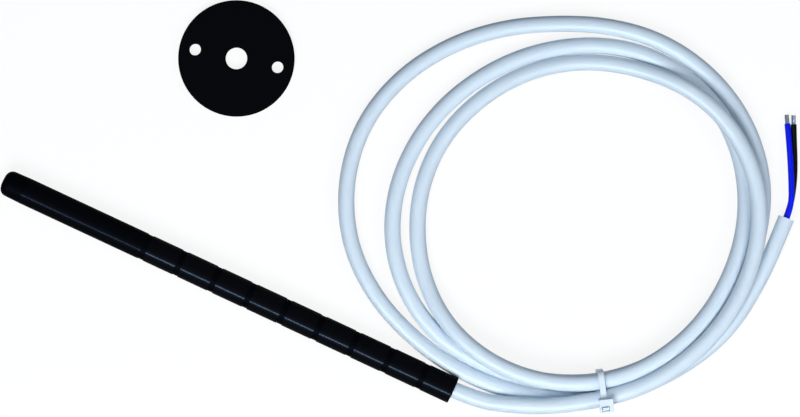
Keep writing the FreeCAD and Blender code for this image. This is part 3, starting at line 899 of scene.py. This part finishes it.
@dataclass
class Fittings:
    """The pieces that stay as they are modelled, and the finish of each."""

    finishes: dict[str, Finish] = field(
        default_factory=lambda: {
            "probe_tube": Finish.STEM,
            "flange": Finish.RUBBER,
            "rear_seal": Finish.RESIN,
            "tip_potting": Finish.RESIN,
            "element_chip": Finish.CERAMIC,
            "element_glaze": Finish.GLAZE,
            "element_wire_blue": Finish.TINNED,
            "element_wire_black": Finish.TINNED,
            "solder_joint_blue": Finish.SOLDER,
            "solder_joint_black": Finish.SOLDER,
            "joint_sleeve_blue": Finish.BLACK,
            "joint_sleeve_black": Finish.BLACK,
            "inner_core_blue": Finish.BLUE,
            "inner_core_black": Finish.BLACK,
            "conductor_blue": Finish.COPPER,
            "conductor_black": Finish.COPPER,
            "cable_tie": Finish.NYLON,
        }
    )

    def build(self) -> None:
        """Dresses each one."""
        for node, finish in self.finishes.items():
            dress(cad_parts[node], finish)
            LOG.info("%s dressed", node)


# Camera, floor and light


class Light(Enum):
    """The two kinds of light from a lamp, by Blender's name for the switch of each."""

    SOFT = "visible_diffuse"
    MIRRORED = "visible_glossy"


@dataclass(frozen=True)
class Lamp:
    """A flat lamp that gives one kind of light and lacks the other."""

    name: str
    spot: Point
    size: tuple[float, float]
    power: float
    colour: Colour
    lacks: Light

    def build(self, aim: Vector) -> None:
        """Hangs the lamp.

        Args:
            aim: The point that it faces.
        """
        data = bpy.data.lights.new(self.name, "AREA")
        data.shape = "RECTANGLE"
        data.size, data.size_y = self.size
        data.energy = self.power
        data.color = self.colour
        item = bpy.data.objects.new(self.name, data)
        item.location = self.spot
        item.rotation_euler = (aim - Vector(self.spot)).to_track_quat("-Z", "Y").to_euler()
        setattr(item, self.lacks.value, False)
        bpy.context.scene.collection.objects.link(item)


@dataclass
class Studio:
    """The floor, the lamps and the camera of the photograph."""

    view_centre: tuple[float, float] = (45.117 * MM, 5.651 * MM)
    view_plane: float = 5 * MM
    roll: float = 25.01
    pixels: int = 800
    pixel_size: float = 0.367 * MM
    lens: float = 135.0
    sensor: float = 36.0
    floor_size: float = 6.0
    floor_drop: float = 0.1 * MM
    sky_colour: Colour = (0.6, 0.8, 1.0)
    sky_strength: float = 0.24
    lamps: tuple[Lamp, ...] = (
        Lamp("key", (0.1, -0.5, 0.75), (0.45, 0.45), 6.7, (0.95, 0.98, 1.0), Light.MIRRORED),
        Lamp("fill", (0.6, 0.12, 0.6), (0.3, 0.3), 1.9, (0.95, 0.98, 1.0), Light.MIRRORED),
        Lamp("shine", (0.1, -0.62, 0.66), (0.9, 0.08), 56.0, (0.42, 0.62, 1.0), Light.SOFT),
    )

    def camera(self) -> None:
        """Sets the camera straight above, turned as in the photograph."""
        data = bpy.data.cameras.new("camera")
        data.lens = self.lens
        data.sensor_width = self.sensor
        item = bpy.data.objects.new("camera", data)
        distance = self.pixels * self.pixel_size * self.lens / self.sensor
        item.location = (*self.view_centre, self.view_plane + distance)
        item.rotation_euler = (0.0, 0.0, math.radians(self.roll))
        bpy.context.scene.collection.objects.link(item)
        bpy.context.scene.camera = item

    def floor(self) -> None:
        """Lays the floor just under the sensor."""
        half = self.floor_size / 2
        corners = [(-half, -half), (half, -half), (half, half), (-half, half)]
        mesh = bpy.data.meshes.new("floor")
        mesh.from_pydata([(x, y, -self.floor_drop) for x, y in corners], [], [(0, 1, 2, 3)])
        piece = bpy.data.objects.new("floor", mesh)
        piece.data.materials.append(Ground().material())
        bpy.context.scene.collection.objects.link(piece)

    def world(self) -> None:
        """Even sky light, white where the sky itself is seen."""
        world = bpy.data.worlds.new("world")
        shade = Shade(world)
        white = shade.node("ShaderNodeBackground", inputs={"Color": (1.0, 1.0, 1.0, 1.0)})
        inputs = {"Color": (*self.sky_colour, 1.0), "Strength": self.sky_strength}
        sky = shade.node("ShaderNodeBackground", inputs=inputs)
        shade.end("ShaderNodeOutputWorld", shade.mix(shade.seen(), sky, white))
        bpy.context.scene.world = world

    def build(self) -> None:
        """Sets up the whole studio."""
        bpy.context.scene.view_settings.view_transform = "Standard"
        self.camera()
        self.floor()
        self.world()
        for lamp in self.lamps:
            lamp.build(Vector((*self.view_centre, 0.0)))


def main() -> None:
    """Builds the sensor's looks and the studio."""
    logging.basicConfig(level=logging.INFO, format="%(message)s")
    Fittings().build()
    blue = StrippedCore(
        colour="blue",
        finish=Finish.BLUE,
        slot="blue_insulation",
        lift=1.15,
        spots=((171.0, 76.0, 3.3), (167.5, 82.8, 2.7), (164.0, 89.2, 2.3), (161.2, 94.2, 1.5)),
    )
    black = StrippedCore(
        colour="black",
        finish=Finish.BLACK,
        slot="black_insulation",
        lift=-1.15,
        spots=((172.4, 76.4, 1.15), (169.3, 83.3, 1.15), (165.9, 89.9, 1.15), (163.4, 95.0, 1.15)),
    )
    blue.build()
    black.build()
    Cable().build([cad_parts["cable_tie"]])
    Studio().build()


if __name__ == "__main__":
    main()
